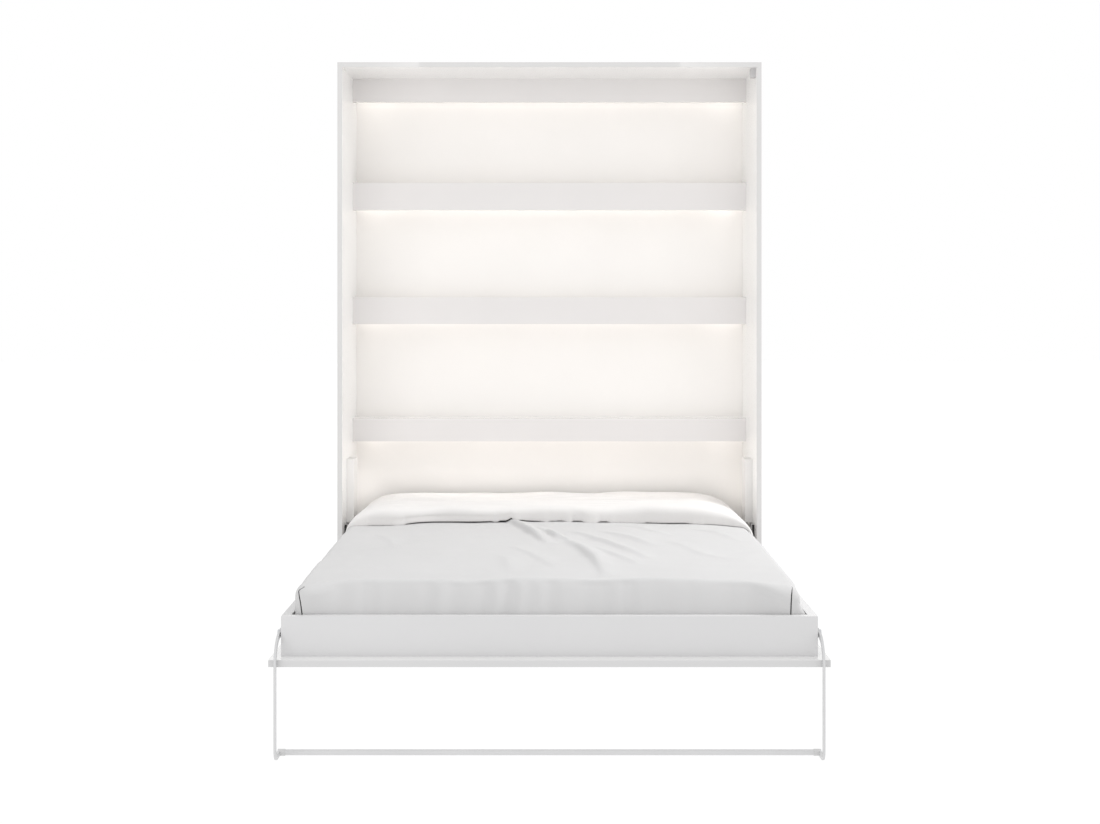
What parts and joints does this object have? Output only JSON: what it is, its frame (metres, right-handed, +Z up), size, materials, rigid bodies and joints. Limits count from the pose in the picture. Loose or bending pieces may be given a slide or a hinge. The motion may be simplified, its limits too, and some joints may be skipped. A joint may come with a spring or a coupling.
{
  "type": "wall bed",
  "caption": "Vertical wall bed, lowered: an open cabinet with backlit cross boards, a bed box that swings down on side pivots, a folding leg frame, gas springs, and bedding.",
  "frame": {"origin": "floor level, middle of the cabinet's rear edge, on the plane of the wall", "axes": "+Z up, +Y towards the wall behind the bed, +X to the right seen from the room; the bed is stored lowered"},
  "size_m": [1.58, 2.133, 2.15],
  "materials": {
    "board_white": "satin",
    "back_sheet": "satin",
    "box_board": "satin",
    "front_board": "gloss",
    "bare_wood": "matte",
    "slat_wood": "satin",
    "zinc_steel": "satin",
    "steel": "satin",
    "plate_paint": "satin",
    "black_plastic": "matte",
    "brass_bush": "satin",
    "pale_plastic": "satin",
    "grey_plastic": "satin",
    "led_alu": "satin",
    "led_board": "matte",
    "led_opal": "matte",
    "leg_paint": "satin",
    "collar_plastic": "satin",
    "spring_paint": "satin",
    "spring_rod": "polished",
    "mattress_fabric": "matte",
    "duvet_fabric": "matte"
  },
  "bodies": {
    "cabinet": {"back_panel": "back_sheet", "cabinet_screws": "zinc_steel", "closed_sensor": "grey_plastic", "fascia_1": "board_white", "fascia_2": "board_white", "fascia_3": "board_white", "fascia_4": "board_white", "led_channels": "led_alu", "led_diffusers": "led_opal", "led_driver": "pale_plastic", "led_strips": "led_board", "pivot_pins": "steel", "pivot_plate_left": "plate_paint", "pivot_plate_right": "plate_paint", "pivot_plate_screws": "zinc_steel", "pivot_plate_strips": "black_plastic", "plinth_board": "board_white", "rear_rail": "board_white", "shelf_2": "board_white", "shelf_3": "board_white", "shelf_4": "board_white", "side_panel_left": "board_white", "side_panel_right": "board_white", "spring_anchor_left": "plate_paint", "spring_anchor_right": "plate_paint", "spring_covers": "pale_plastic", "spring_side_screws": "zinc_steel", "top_panel": "board_white", "wall_bracket_screws": "zinc_steel", "wall_brackets": "zinc_steel"},
    "bed": {"bed_rail_left": "box_board", "bed_rail_right": "box_board", "box_corner_screws": "zinc_steel", "centre_beam": "bare_wood", "duvet": "duvet_fabric", "foot_board": "box_board", "front_panel": "front_board", "head_board": "box_board", "hinge_plate_bolts": "zinc_steel", "hinge_plate_left": "plate_paint", "hinge_plate_right": "plate_paint", "leg_pivot_bolts": "zinc_steel", "leg_washers": "zinc_steel", "mattress": "mattress_fabric", "panel_brackets": "zinc_steel", "pivot_bushes": "brass_bush", "slat_battens": "bare_wood", "slat_holders": "black_plastic", "slats": "slat_wood"},
    "leg_frame": {"leg_bar_right": "leg_paint", "leg_bar_left": "leg_paint", "leg_bushes": "pale_plastic", "leg_crossbar": "leg_paint", "crossbar_collars": "collar_plastic"},
    "gas_tube_right": {"spring_tube_right": "spring_paint"},
    "gas_rod_right": {"spring_rod_right": "spring_rod", "spring_stud_right": "steel"},
    "gas_tube_left": {"spring_tube_left": "spring_paint"},
    "gas_rod_left": {"spring_rod_left": "spring_rod", "spring_stud_left": "steel"}
  },
  "joints": [
    {"name": "bed_swing", "type": "hinge", "parent": "cabinet", "child": "bed", "pos_m": [0, -0.36, 0.354], "axis": [-1, 0, 0], "range_deg": [0, 90]},
    {"name": "leg_fold", "type": "hinge", "parent": "bed", "child": "leg_frame", "pos_m": [0, -2.02, 0.3325], "axis": [-1, 0, 0], "range_deg": [0, 200]},
    {"name": "gas_swing_right", "type": "hinge", "parent": "cabinet", "child": "gas_tube_right", "pos_m": [0.7585, -0.275, 0.636], "axis": [-1, 0, 0], "range_deg": [0, 17.93]},
    {"name": "gas_slide_right", "type": "slide", "parent": "gas_tube_right", "child": "gas_rod_right", "axis": [0, 0.1276, -0.9918], "range_m": [0, 0.135]},
    {"name": "gas_swing_left", "type": "hinge", "parent": "cabinet", "child": "gas_tube_left", "pos_m": [-0.7585, -0.275, 0.636], "axis": [-1, 0, 0], "range_deg": [0, 17.93]},
    {"name": "gas_slide_left", "type": "slide", "parent": "gas_tube_left", "child": "gas_rod_left", "axis": [0, 0.1276, -0.9918], "range_m": [0, 0.135]}
  ],
  "couplings": [
    {"joint": "gas_swing_right", "follows": "bed_swing", "ratio": 0.19889},
    {"joint": "gas_slide_right", "follows": "bed_swing", "m_per_rad": 0.085749},
    {"joint": "gas_swing_left", "follows": "bed_swing", "ratio": 0.19889},
    {"joint": "gas_slide_left", "follows": "bed_swing", "m_per_rad": 0.085749}
  ]
}
